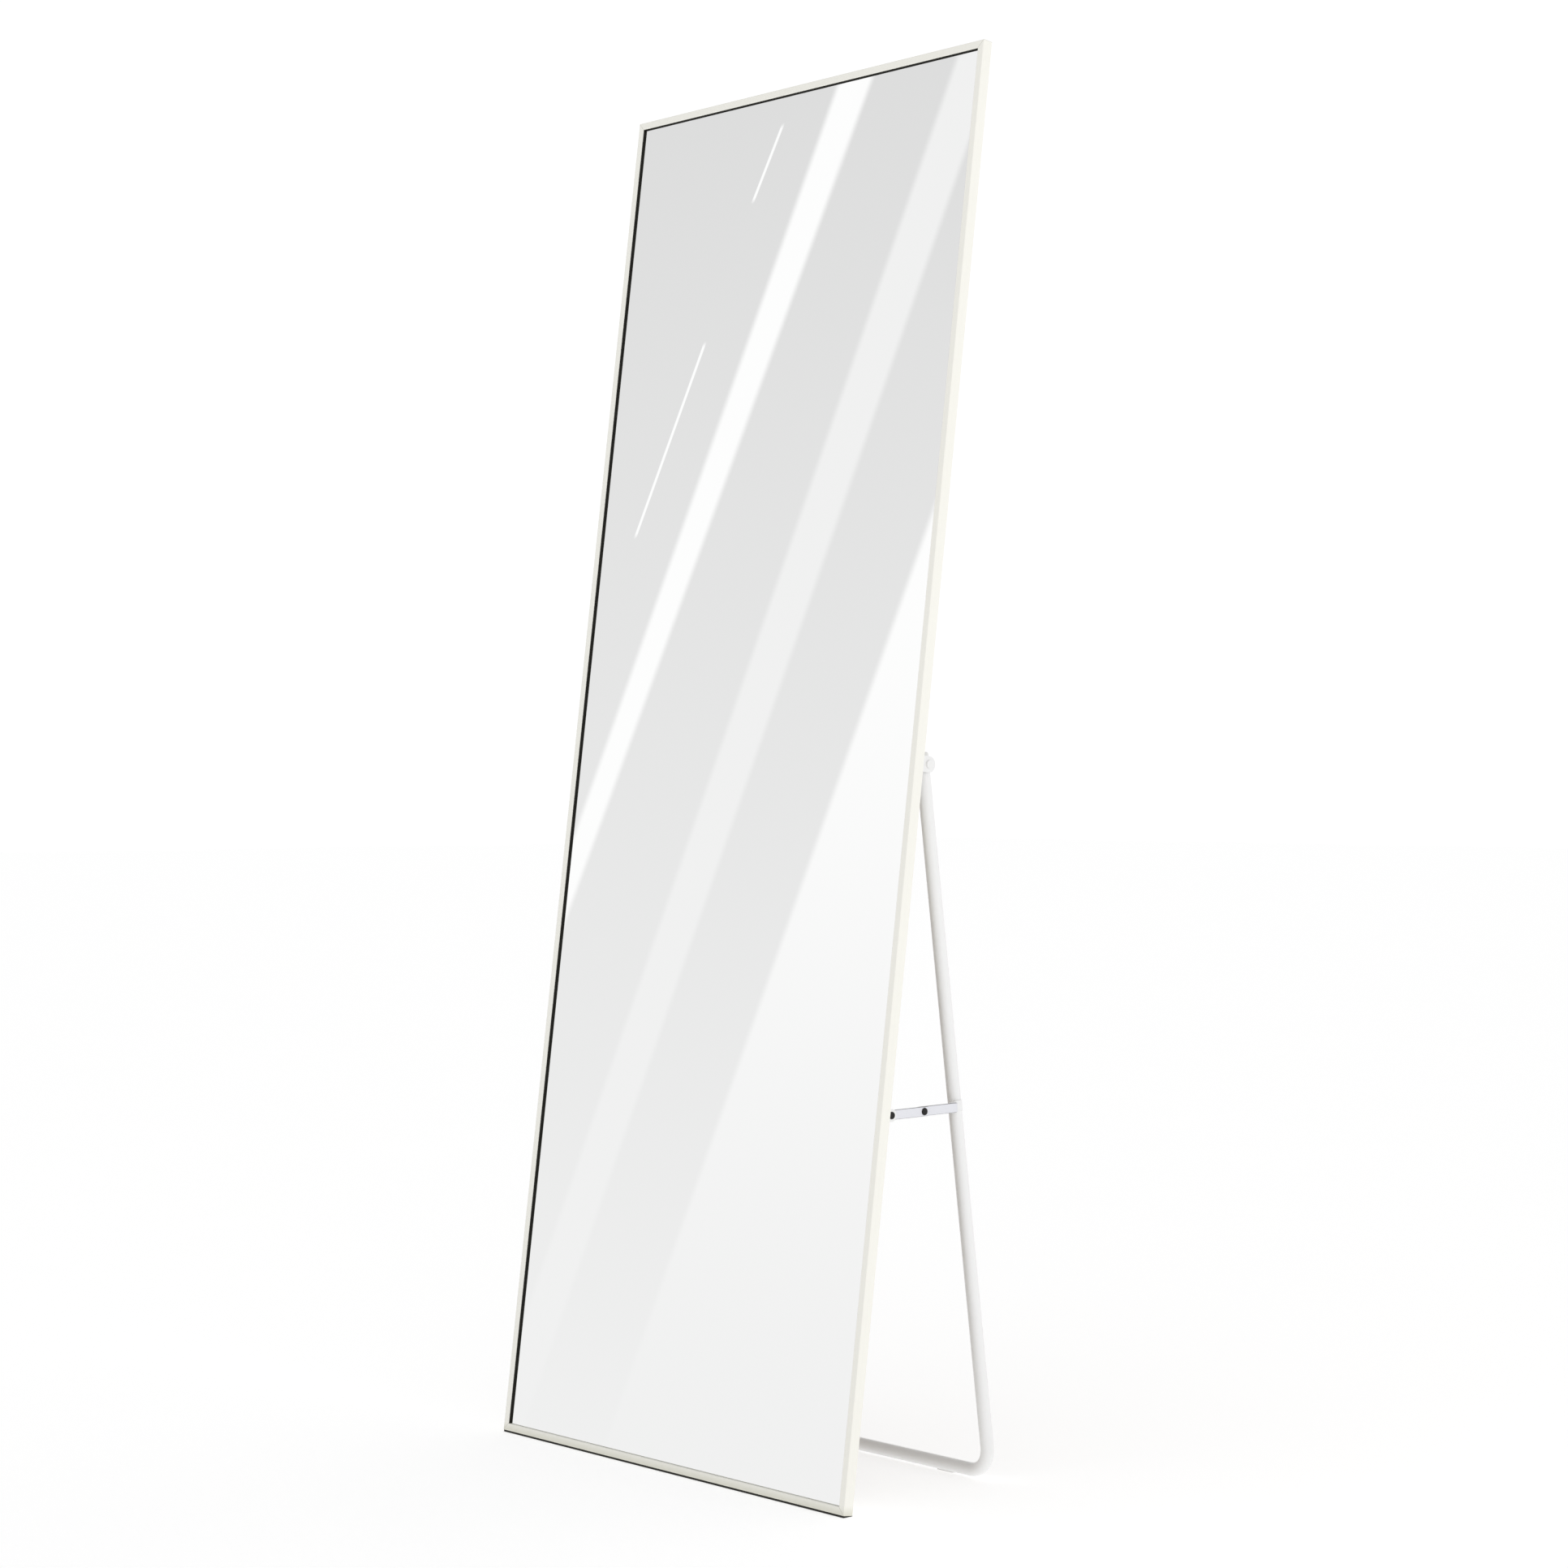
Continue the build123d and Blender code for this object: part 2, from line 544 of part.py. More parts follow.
def floor_pad(x):
    """Soft pad moulded to the underside of the crossbar and flat on the floor."""
    crossbar_z = TUBE_RADIUS + PAD_THICKNESS
    half_length = PAD_LENGTH / 2
    half_width = PAD_WIDTH / 2
    pad = block((x - half_length, x + half_length), (-half_width, half_width), (0, PAD_RISE))
    pad = fillet(pad.edges().filter_by(Axis.Z), PAD_CORNER)
    return pad - rod("X", TUBE_RADIUS, x - THROUGH, x + THROUGH, (0, crossbar_z))


def make_stand():
    save("stand_tube", [stand_tube()], STAND_PLACE)
    for name, side in (("left", -1), ("right", 1)):
        save(f"{name}_leg_plug", [tube_plug(side)], STAND_PLACE)
        save(f"{name}_stay_lug", [mirrored(stay_lug(), side)], STAND_PLACE)
    pads = [floor_pad(x) for x in (-PAD_X, 0, PAD_X)]
    save("stand_floor_pads", pads, Pos(0, CROSSBAR_Y - DEPTH / 2, 0))


# ---------------------------------------------------------------- folding stays
def stay_bracket():
    """Angle bracket: a base on the frame and one ear, outside the links."""
    plate_from = STAY_EAR_X + PLATE - STAY_PLATE_WIDTH
    base = block(
        (plate_from, STAY_EAR_X + PLATE),
        (FRAME_DEPTH, FRAME_DEPTH + PLATE),
        (STAY_UP - STAY_PLATE_LENGTH / 2, STAY_UP + STAY_PLATE_LENGTH / 2),
    )
    bracket = fillet(base.edges().filter_by(Axis.Y), STAY_PLATE_CORNER)
    bracket += plate_yz(rounded_ear(STAY_BACK, STAY_UP, STAY_EAR_RADIUS, FRAME_DEPTH), STAY_EAR_X, PLATE)
    bracket -= rod("X", RIVET_RADIUS, 0, PANEL_WIDTH, (STAY_BACK, STAY_UP))
    for x, z in STAY_SCREWS:
        bracket -= rod("Y", SCREW_RADIUS, 0, THROUGH, (x, z))
    return bracket


def stay_geometry():
    """Lug pivot in the panel's frame, and the unit vector from the frame pivot towards it."""
    leg = radians(LEG_LEAN)
    lean = radians(PANEL_LEAN)
    lug_y = HINGE_Y + LUG_DOWN * sin(leg) - LUG_FORWARD * cos(leg)
    lug_z = HINGE_Z - FLOOR_DROP - LUG_DOWN * cos(leg) - LUG_FORWARD * sin(leg)
    back = lug_y * cos(lean) - lug_z * sin(lean)
    up = lug_y * sin(lean) + lug_z * cos(lean)
    span = Vector(back - STAY_BACK, up - STAY_UP, 0)
    return span.length, span.normalized()


STAY_SPAN, STAY_DIRECTION = stay_geometry()


def along_stay(distance):
    """Panel Y and Z of a point on the straight stay, measured from the frame pivot."""
    return (STAY_BACK + STAY_DIRECTION.X * distance, STAY_UP + STAY_DIRECTION.Y * distance)


def stay_link(start, end, x_low, holes):
    """Flat bar between two pivots, with squared ends that pass them a little."""
    middle = along_stay((start + end) / 2)
    turn = Vector(1, 0, 0).get_signed_angle(STAY_DIRECTION, Vector(0, 0, 1))
    bar = RectangleRounded(end - start + 2 * LINK_OVERHANG, LINK_HEIGHT, LINK_CORNER)
    link = plate_yz(Pos(*middle) * Rot(0, 0, turn) * bar, x_low, LINK_THICKNESS)
    link = chamfer(link.edges().group_by(Axis.X)[-1], LINK_CHAMFER)
    for distance, radius in holes:
        link -= rod("X", radius, x_low, x_low + LINK_THICKNESS, along_stay(distance))
    return link


def rivet(distance, head_x, head_height, tail_x, tail_height=0.0):
    """Domed rivet with its head outside at head_x and its shank reaching in to tail_x."""
    center = along_stay(distance)
    head = rod("X", RIVET_HEAD_RADIUS, head_x, head_x + head_height, center)
    result = fillet(head.edges().group_by(Axis.X)[-1], head_height * RIVET_DOME)
    result += rod("X", RIVET_RADIUS, tail_x, head_x, center)
    if tail_height:
        result += rod("X", RIVET_TAIL_RADIUS, tail_x - tail_height, tail_x, center)
    return result


def make_stays():
    loose = RIVET_RADIUS + RUNNING_CLEARANCE
    centre = FRONT_LINK_LENGTH
    front = stay_link(0, centre, FRONT_LINK_X, [(0, loose), (centre, RIVET_RADIUS)])
    rear = stay_link(centre, STAY_SPAN, REAR_LINK_X, [(centre, loose), (STAY_SPAN, RIVET_RADIUS)])
    frame_rivet = rivet(0, STAY_EAR_X + PLATE, FRAME_RIVET_HEAD, FRONT_LINK_X)
    centre_rivet = rivet(
        centre,
        FRONT_LINK_X + LINK_THICKNESS,
        CENTRE_RIVET_HEAD,
        REAR_LINK_X - CENTRE_RIVET_STAND_OFF,
        CENTRE_RIVET_TAIL,
    )
    end_rivet = rod("X", RIVET_RADIUS, REAR_LINK_X, REAR_LINK_X + LINK_THICKNESS, along_stay(STAY_SPAN))
    for name, side in (("left", -1), ("right", 1)):
        save(f"{name}_stay_bracket", [mirrored(stay_bracket(), side)], PANEL_PLACE)
        save(f"{name}_stay_frame_rivet", [mirrored(frame_rivet, side)], PANEL_PLACE)
        save(f"{name}_stay_front_link", [mirrored(front, side)], PANEL_PLACE)
        save(f"{name}_stay_centre_rivet", [mirrored(centre_rivet, side)], PANEL_PLACE)
        save(f"{name}_stay_rear_link", [mirrored(rear, side)], PANEL_PLACE)
        save(f"{name}_stay_end_rivet", [mirrored(end_rivet, side)], PANEL_PLACE)
    seat = FRAME_DEPTH + PLATE
    screws = [pan_screw(side * x, z, seat, PLATE + SCREW_LENGTH) for side in (-1, 1) for x, z in STAY_SCREWS]
    save("stay_bracket_screws", screws, PANEL_PLACE)
    plate = backing_plate(STAY_SCREWS, STAY_BACKING_LENGTH, STAY_UP)
    save("stay_backing_plates", [mirrored(plate, side) for side in (-1, 1)], PANEL_PLACE)


make_frame()
make_glass_and_back()
make_board_clips()
make_wall_hangers()
make_anti_slip_strip()
make_bumpers()
make_hinges()
make_stand()
make_stays()
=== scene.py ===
import json
import math

import bmesh
import bpy
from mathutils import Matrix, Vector


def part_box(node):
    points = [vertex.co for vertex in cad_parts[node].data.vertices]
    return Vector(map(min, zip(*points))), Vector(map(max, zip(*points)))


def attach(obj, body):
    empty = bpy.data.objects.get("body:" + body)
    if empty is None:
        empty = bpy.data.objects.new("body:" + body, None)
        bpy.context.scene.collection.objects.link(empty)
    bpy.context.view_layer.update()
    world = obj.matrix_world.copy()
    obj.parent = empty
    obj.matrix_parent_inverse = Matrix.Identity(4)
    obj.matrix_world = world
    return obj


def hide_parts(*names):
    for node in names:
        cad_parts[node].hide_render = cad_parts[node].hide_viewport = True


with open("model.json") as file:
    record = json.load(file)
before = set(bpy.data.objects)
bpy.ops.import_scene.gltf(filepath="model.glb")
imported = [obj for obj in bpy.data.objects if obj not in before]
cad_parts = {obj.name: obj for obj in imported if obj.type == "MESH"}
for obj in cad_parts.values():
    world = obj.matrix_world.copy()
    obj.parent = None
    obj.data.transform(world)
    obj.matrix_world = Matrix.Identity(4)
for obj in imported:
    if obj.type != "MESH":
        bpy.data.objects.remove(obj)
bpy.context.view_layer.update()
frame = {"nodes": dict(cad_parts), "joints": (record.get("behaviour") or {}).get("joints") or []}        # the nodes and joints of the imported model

nodes = frame["nodes"]
scene = bpy.context.scene
scene.view_settings.view_transform = "Standard"

# the glass panel leans back; everything on it is measured across, up and back from its front foot
panel = {"leanDeg": 7.5, "width": 0.600, "height": 1.600, "foot": (0.0, -0.125719, 0.002327)}
lean = math.radians(panel["leanDeg"])
foot = Vector(panel["foot"])
upPanel = Vector((0, math.sin(lean), math.cos(lean)))
backPanel = Vector((0, math.cos(lean), -math.sin(lean)))

cameraSettings = {"place": (2.7606, -2.3846, 0.7725), "yawDeg": 48.52, "lens": 72.9, "sensor": 36.0}


def makeCamera(settings):
    data = bpy.data.cameras.new("camera")
    data.lens = settings["lens"]
    data.sensor_width = settings["sensor"]
    data.clip_end = 100.0
    camera = bpy.data.objects.new("camera", data)
    camera.location = settings["place"]
    camera.rotation_euler = (math.radians(90), 0, math.radians(settings["yawDeg"]))    # level, like a tripod
    scene.collection.objects.link(camera)
    scene.camera = camera


# a socket that can be added, multiplied and so on, so that shader sums read like sums
class Wire:
    def __init__(self, graph, socket):
        self.graph = graph
        self.socket = socket

    def maths(self, operation, *others):
        return self.graph.add("ShaderNodeMath", {"operation": operation}, dict(enumerate((self, *others))))

    def swapped(self, operation, other):
        return self.graph.add("ShaderNodeMath", {"operation": operation}, {0: other, 1: self})

    def __add__(self, other):
        return self.maths("ADD", other)

    def __sub__(self, other):
        return self.maths("SUBTRACT", other)

    def __rsub__(self, other):
        return self.swapped("SUBTRACT", other)

    def __mul__(self, other):
        return self.maths("MULTIPLY", other)

    def __truediv__(self, other):
        return self.maths("DIVIDE", other)

    def __rtruediv__(self, other):
        return self.swapped("DIVIDE", other)

    __radd__ = __add__
    __rmul__ = __mul__

    def size(self):
        return self.maths("ABSOLUTE")

    def least(self, other):
        return self.maths("MINIMUM", other)

    def most(self, other):
        return self.maths("MAXIMUM", other)

    # swings between -1 and 1; the turn is in radians for each metre
    def sine(self, turn):
        return (self * turn).maths("SINE")

    # the same swing between 0 and 1
    def wave(self, turn):
        return self.sine(turn) * 0.5 + 0.5


# a node tree of any kind, with one way to add a node
class Graph:
    def __init__(self, tree):
        self.tree = tree
        self.tree.nodes.clear()

    def node(self, kind, settings=None, values=None):
        made = self.tree.nodes.new(kind)
        for name, value in (settings or {}).items():
            setattr(made, name, value)
        for key, value in (values or {}).items():
            if isinstance(value, Wire):
                self.tree.links.new(value.socket, made.inputs[key])
            else:
                made.inputs[key].default_value = value
        return made

    def add(self, kind, settings=None, values=None, output=0):
        return Wire(self, self.node(kind, settings, values).outputs[output])

    # links several wires into one socket that takes many
    def gather(self, node, key, wires):
        for wire in wires:
            self.tree.links.new(wire.socket, node.inputs[key])
        return Wire(self, node.outputs[0])

    def place(self):
        return self.add("ShaderNodeTexCoord", output="Object")

    def split(self, vector):
        made = self.node("ShaderNodeSeparateXYZ", values={0: vector})
        return [Wire(self, socket) for socket in made.outputs]

    def dot(self, vector, direction):
        return self.add("ShaderNodeVectorMath", {"operation": "DOT_PRODUCT"}, {0: vector, 1: direction},
                        output="Value")

    # how far a spot lies from the foot of the panel, along one of the panel's own directions
    def fromFoot(self, spot, direction):
        return self.dot(spot, direction) - foot.dot(direction)

    # a cloudy pattern; a scale of three numbers stretches it
    def noise(self, vector, scale, detail=2.0, rough=0.5):
        if isinstance(scale, tuple):
            vector = self.add("ShaderNodeMapping", {"vector_type": "POINT"},
                              {"Vector": vector, "Scale": scale})
            scale = 1.0
        return self.add("ShaderNodeTexNoise", {"noise_dimensions": "3D"},
                        {"Vector": vector, "Scale": scale, "Detail": detail, "Roughness": rough})

    def cells(self, vector, scale):
        return self.add("ShaderNodeTexVoronoi", {"feature": "F1"}, {"Vector": vector, "Scale": scale})

    def smooth(self, value, start, end, low=0.0, high=1.0):
        return self.add("ShaderNodeMapRange", {"interpolation_type": "SMOOTHSTEP"},
                        {"Value": value, "From Min": start, "From Max": end, "To Min": low, "To Max": high})

    # spots of one kind: 1 inside them and 0 between them
    def patches(self, spot, kind):
        cloud = self.noise(spot, kind["scale"], kind["detail"], kind.get("rough", 0.5))
        return self.smooth(cloud, kind["from"], kind["to"])

    # a roughness that drifts a little over the surface
    def dullness(self, spot, rough):
        return self.noise(spot, rough["scale"]) * rough["spread"] + rough["base"]

    def tint(self, factor, first, second):
        return self.add("ShaderNodeMix", {"data_type": "RGBA", "clamp_factor": True},
                        {0: factor, 6: first, 7: second}, output=2)

    def bump(self, height, strength, distance):
        return self.add("ShaderNodeBump",
                        values={"Strength": strength, "Distance": distance, "Height": height})


def rgb(red, green, blue):
    return (red, green, blue, 1.0)


def newMaterial(name):
    material = bpy.data.materials.new(name)
    material.use_nodes = True
    return material, Graph(material.node_tree)


# a material with its Principled shader; what build returns are the values or wires of its sockets
def finish(name, build):
    material, graph = newMaterial(name)
    shader = graph.add("ShaderNodeBsdfPrincipled", values=build(graph))
    graph.node("ShaderNodeOutputMaterial", values={0: shader})
    return material


def flatObject(name, corners, material):
    mesh = bpy.data.meshes.new(name)
    mesh.from_pydata([tuple(corner) for corner in corners], [], [tuple(range(len(corners)))])
    mesh.materials.append(material)
    made = bpy.data.objects.new(name, mesh)
    scene.collection.objects.link(made)
    return made


studio = {
    "floorSize": 30.0, "floorGlow": 0.50, "floorTone": 0.74, "floorSpeckle": 0.01, "floorScale": 3.0,
    "sky": 1.04, "skyTop": 0.60, "topFrom": 0.28, "topTo": 0.75,
    "skySide": 0.72, "sideWay": (-0.66, -0.72, 0.22), "sideFrom": 0.20, "sideTo": 0.75,
    "sideLow": 0.12, "sideHigh": 0.35,
    "keyPlace": (3.3, 0.45, 1.1), "keyAim": (0.0, 0.0, 0.75), "keySize": (1.8, 2.4), "keyPower": 10.0,
}


def makeFloor(settings):
    material, graph = newMaterial("studio_floor")
    tone = settings["floorTone"]
    light = tone + settings["floorSpeckle"]
    paint = graph.tint(graph.noise(graph.place(), settings["floorScale"], 3.0), rgb(tone, tone, tone),
                       rgb(light, light, light))
    matt = graph.add("ShaderNodeBsdfDiffuse", values={"Color": paint})
    glow = graph.add("ShaderNodeEmission", values={"Color": rgb(1, 1, 1), "Strength": settings["floorGlow"]})
    both = graph.add("ShaderNodeAddShader", values={0: matt, 1: glow})
    graph.node("ShaderNodeOutputMaterial", values={0: both})
    half = settings["floorSize"]
    corners = [(-half, -half, 0), (half, -half, 0), (half, half, 0), (-half, half, 0)]
    made = flatObject("studio_floor", corners, material)
    made.visible_glossy = False        # the glass shows the light card down to its foot


# white all round, a little darker overhead and to the front left
def makeSky(settings):
    world = bpy.data.worlds.new("studio_sky")
    world.use_nodes = True
    scene.world = world
    graph = Graph(world.node_tree)
    towards = graph.add("ShaderNodeTexCoord", output="Generated")
    height = graph.split(towards)[2]
    side = graph.dot(towards, settings["sideWay"])
    overhead = graph.smooth(height, settings["topFrom"], settings["topTo"])
    sideways = graph.smooth(side, settings["sideFrom"], settings["sideTo"])
    sideways = sideways * graph.smooth(height, settings["sideLow"], settings["sideHigh"])
    level = settings["sky"] - overhead * (settings["sky"] - settings["skyTop"])
    level = level * (1.0 - sideways * (1.0 - settings["skySide"]))
    sky = graph.add("ShaderNodeBackground", values={"Color": level, "Strength": 1.0})
    graph.node("ShaderNodeOutputWorld", values={0: sky})


def makeKey(settings):
    data = bpy.data.lights.new("key_light", "AREA")
    data.shape = "RECTANGLE"
    data.size, data.size_y = settings["keySize"]
    data.energy = settings["keyPower"]
    light = bpy.data.objects.new("key_light", data)
    aim = Vector(settings["keyAim"]) - Vector(settings["keyPlace"])
    light.location = settings["keyPlace"]
    light.rotation_euler = aim.to_track_quat("-Z", "Y").to_euler()
    scene.collection.objects.link(light)


# a big lit card in front of the glass, which only reflections see: a soft grey wash with tall light gaps
# in it; an edge is given by where it crosses height zero and how far it leans for each metre up, and the
# whole pattern repeats sideways, so that the glass shows some of it from every side
card = {
    "distance": 3.0, "left": -9.0, "right": 6.0, "low": -5.0, "high": 7.0,
    "wash": {"level": 0.928, "fall": 0.0438, "lowest": -1.0, "even": -0.4}, "soft": 0.016,
    "gaps": [
        {"left": (-4.600, 0.3969), "right": (-4.523, 0.4160), "light": 1.06},
        {"left": (-4.079, 0.3732), "right": (-3.927, 0.3746), "light": 0.945},
    ],
    "slits": [
        {"edge": (-4.976, 0.4640), "wide": 0.009, "from": 2.755, "to": 2.949, "light": 1.07},
        {"edge": (-4.827, 0.4140), "wide": 0.009, "from": 1.860, "to": 2.377, "light": 1.07},
    ],
    "slitSoft": 0.01,
    "window": {"edge": (-3.575, 0.3732), "low": 0.945, "high": 1.065, "from": -0.6, "to": 1.95},
    "repeat": {"from": -5.5, "to": -2.5, "lean": 0.3732},
}


def makeCard(settings):
    material, graph = newMaterial("light_card")
    spot = graph.place()
    along = graph.fromFoot(spot, upPanel)
    repeat = settings["repeat"]
    shift = along * repeat["lean"]
    across = (graph.split(spot)[0] - shift).maths("WRAP", repeat["to"], repeat["from"]) + shift

    def pastEdge(edge):
        return across - (along * edge[1] + edge[0])

    def softStep(value, soft=settings["soft"]):
        return graph.smooth(value, -soft, soft)

    wash = settings["wash"]
    level = wash["level"] - (along.most(wash["lowest"]) - wash["even"]) * wash["fall"]
    for gap in settings["gaps"]:
        inside = softStep(pastEdge(gap["left"])) * (1.0 - softStep(pastEdge(gap["right"])))
        level = level + inside * (gap["light"] - level).most(0.0)
    window = settings["window"]
    shine = graph.smooth(along, window["from"], window["to"], window["low"], window["high"])
    level = level + softStep(pastEdge(window["edge"])) * (shine - level)
    for slit in settings["slits"]:
        inside = 1.0 - graph.smooth(pastEdge(slit["edge"]).size(), slit["wide"] * 0.5, slit["wide"] * 0.75)
        begun = softStep(along - slit["from"], settings["slitSoft"])
        ended = softStep(along - slit["to"], settings["slitSoft"])
        level = level + inside * begun * (1.0 - ended) * (slit["light"] - level)
    glow = graph.add("ShaderNodeEmission", values={"Color": level, "Strength": 1.0})
    graph.node("ShaderNodeOutputMaterial", values={0: glow})
    middle = foot - backPanel * settings["distance"]
    corners = [(settings["left"], settings["low"]), (settings["right"], settings["low"]),
               (settings["right"], settings["high"]), (settings["left"], settings["high"])]
    corners = [middle + Vector((x, 0, 0)) + upPanel * up for x, up in corners]
    made = flatObject("light_card", corners, material)
    made.visible_camera = False
    made.visible_diffuse = False
    made.visible_transmission = False
    made.visible_volume_scatter = False
    made.visible_shadow = False


makeCamera(cameraSettings)
makeFloor(studio)
makeSky(studio)
makeKey(studio)
makeCard(card)
print("camera, floor and lights placed")


framePaint = {
    "tone": rgb(0.920, 0.910, 0.850), "shade": rgb(0.900, 0.888, 0.822), "shadeScale": 5.0,
    # the foot colour and its height are painted shade along the frame's bottom edge
    "foot": rgb(0.740, 0.730, 0.640), "paintedShadeHigh": 0.0115,
    "mitre": rgb(0.42, 0.41, 0.36), "mitreWide": 0.00016, "mitreEnd": 0.000352, "mitreShow": 0.75,
    "mitreDeep": 1.5, "mitreDull": 0.3, "flange": 0.041, "flangeEnd": 0.042,
    "speck": {"scale": 2600.0, "detail": 1.0, "from": 0.70, "to": 0.80}, "speckTone": rgb(0.62, 0.60, 0.53),
    "speckShow": 0.10, "peelScale": 780.0, "peelEven": 0.4, "peel": 0.10, "peelDeep": 0.0002,
    "rough": {"scale": 48.0, "base": 0.36, "spread": 0.10}, "shine": 0.42,
}


# cream powder coat on the extrusion, with its orange peel, the hairline where two lengths are mitred, and
# painted shade darkening it towards the floor along its lowest edge
def frameFinish(graph, paint=framePaint):
    spot = graph.place()
    up = graph.fromFoot(spot, upPanel)
    inset = panel["width"] / 2 - graph.split(spot)[0].size()
    end = up.least(panel["height"] - up)
    seam = 1.0 - graph.smooth((inset - end).size(), paint["mitreWide"], paint["mitreEnd"])
    for reach in (inset, end):
        seam = seam * (1.0 - graph.smooth(reach, paint["flange"], paint["flangeEnd"]))
    colour = graph.tint(graph.noise(spot, paint["shadeScale"], 3.0), paint["tone"], paint["shade"])
    # painted shade: the lowest strip of the frame darkens towards the foot colour
    colour = graph.tint(1.0 - graph.smooth(up, 0.0, paint["paintedShadeHigh"]), colour, paint["foot"])
    colour = graph.tint(seam * paint["mitreShow"], colour, paint["mitre"])
    colour = graph.tint(graph.patches(spot, paint["speck"]) * paint["speckShow"], colour, paint["speckTone"])
    height = graph.noise(spot, paint["peelScale"], 2.0, paint["peelEven"]) - seam * paint["mitreDeep"]
    rough = graph.dullness(spot, paint["rough"]) + seam * paint["mitreDull"]
    return {"Base Color": colour, "Roughness": rough, "Specular IOR Level": paint["shine"],
            "Normal": graph.bump(height, paint["peel"], paint["peelDeep"])}


standPaint = {
    "tone": rgb(0.865, 0.865, 0.862), "shade": rgb(0.835, 0.835, 0.833), "shadeScale": 7.0,
    "scrape": {"scale": (60.0, 420.0, 420.0), "detail": 4.0, "rough": 0.65, "from": 0.62, "to": 0.74},
    "scuff": rgb(0.68, 0.68, 0.66), "scuffShow": 0.5, "scuffDull": 0.25, "scuffDeep": 0.4,
    "scuffFull": 0.006, "scuffHigh": 0.024,
    "peelScale": 820.0, "peelEven": 0.4, "peel": 0.10, "peelDeep": 0.0002,
    "rough": {"scale": 55.0, "base": 0.30, "spread": 0.08}, "shine": 0.45,
}


# white powder coat on the tube; it is scuffed a little where the bar is dragged over the floor
def standFinish(graph, paint=standPaint):
    spot = graph.place()
    nearFloor = 1.0 - graph.smooth(graph.split(spot)[2], paint["scuffFull"], paint["scuffHigh"])
    scuff = graph.patches(spot, paint["scrape"]) * nearFloor
    colour = graph.tint(graph.noise(spot, paint["shadeScale"], 3.0), paint["tone"], paint["shade"])
    colour = graph.tint(scuff * paint["scuffShow"], colour, paint["scuff"])
    height = graph.noise(spot, paint["peelScale"], 2.0, paint["peelEven"]) - scuff * paint["scuffDeep"]
    rough = graph.dullness(spot, paint["rough"]) + scuff * paint["scuffDull"]
    return {"Base Color": colour, "Roughness": rough, "Specular IOR Level": paint["shine"],
            "Normal": graph.bump(height, paint["peel"], paint["peelDeep"])}


linkPaint = {
    "tone": rgb(0.780, 0.785, 0.830), "shade": rgb(0.745, 0.750, 0.792), "shadeScale": 30.0,
    "chip": {"scale": 900.0, "detail": 3.0, "rough": 0.6, "from": 0.64, "to": 0.72},
    "chipTone": rgb(0.50, 0.50, 0.52), "chipShow": 0.35, "chipDeep": 0.3,
    "edgeShade": rgb(0.24, 0.24, 0.25), "edgeShadeFrom": 0.75, "edgeShadeTo": 0.95, "edgeShadeShow": 0.8,
    "stamp": (300.0, 300.0, 1400.0), "stampStrength": 0.12, "stampDeep": 0.0001,
    "rough": {"scale": 120.0, "base": 0.34, "spread": 0.12}, "shine": 0.45,
}


# pale grey stoved paint on the stamped links, with painted shade darkening the punched edges
def linkFinish(graph, paint=linkPaint):
    spot = graph.place()
    chip = graph.patches(spot, paint["chip"])
    facing = graph.split(graph.add("ShaderNodeTexCoord", output="Normal"))[0].size()
    # painted shade: every face but the two broad sides is darkened, outlining the link
    edgeShade = 1.0 - graph.smooth(facing, paint["edgeShadeFrom"], paint["edgeShadeTo"])     # punched edges and their bevels
    colour = graph.tint(graph.noise(spot, paint["shadeScale"], 3.0), paint["tone"], paint["shade"])
    colour = graph.tint(chip * paint["chipShow"], colour, paint["chipTone"])
    colour = graph.tint(edgeShade * paint["edgeShadeShow"], colour, paint["edgeShade"])
    height = graph.noise(spot, paint["stamp"]) - chip * paint["chipDeep"]
    return {"Base Color": colour, "Roughness": graph.dullness(spot, paint["rough"]),
            "Specular IOR Level": paint["shine"],
            "Normal": graph.bump(height, paint["stampStrength"], paint["stampDeep"])}


mirrorGlass = {
    "silver": rgb(0.928, 0.930, 0.928), "edge": rgb(0.60, 0.70, 0.64), "edgeFrom": 0.0036, "edgeTo": 0.0042,
    "edgeDull": 0.25, "edgeClear": 0.7, "rough": 0.004,
    "wipe": {"scale": (9.0, 9.0, 2.4), "detail": 4.0, "rough": 0.6, "from": 0.48, "to": 0.74},
    "breath": 0.012,
    "dust": {"scale": 1500.0, "detail": 1.0, "from": 0.72, "to": 0.80}, "dustTone": rgb(0.75, 0.74, 0.70),
    "dustShow": 0.12, "dustDull": 0.05, "dustFrom": 0.22, "dustTo": 0.30, "dustHigh": 0.14,
}


# second-surface mirror: neutral silver, a ground green edge, the faint bloom that wiping leaves, and a
# little dust in the lower corners
def mirrorFinish(graph, glass=mirrorGlass):
    spot = graph.place()
    inside = graph.smooth(graph.fromFoot(spot, backPanel), glass["edgeFrom"], glass["edgeTo"])
    low = 1.0 - graph.smooth(graph.fromFoot(spot, upPanel), 0.0, glass["dustHigh"])
    corner = graph.smooth(graph.split(spot)[0].size(), glass["dustFrom"], glass["dustTo"]) * low
    dust = graph.patches(spot, glass["dust"]) * corner
    colour = graph.tint(inside, glass["silver"], glass["edge"])
    colour = graph.tint(dust * glass["dustShow"], colour, glass["dustTone"])
    rough = graph.patches(spot, glass["wipe"]) * glass["breath"] + glass["rough"]
    rough = rough + inside * glass["edgeDull"] + dust * glass["dustDull"]
    return {"Base Color": colour, "Metallic": 1.0 - inside * glass["edgeClear"], "Roughness": rough}


scrim = {
    "film": rgb(0.30, 0.33, 0.34), "thread": rgb(0.42, 0.45, 0.45), "threadTurn": 2100.0, "threadShow": 0.6,
    "rough": {"scale": 90.0, "base": 0.42, "spread": 0.15}, "weave": 0.3, "weaveDeep": 0.0001,
}


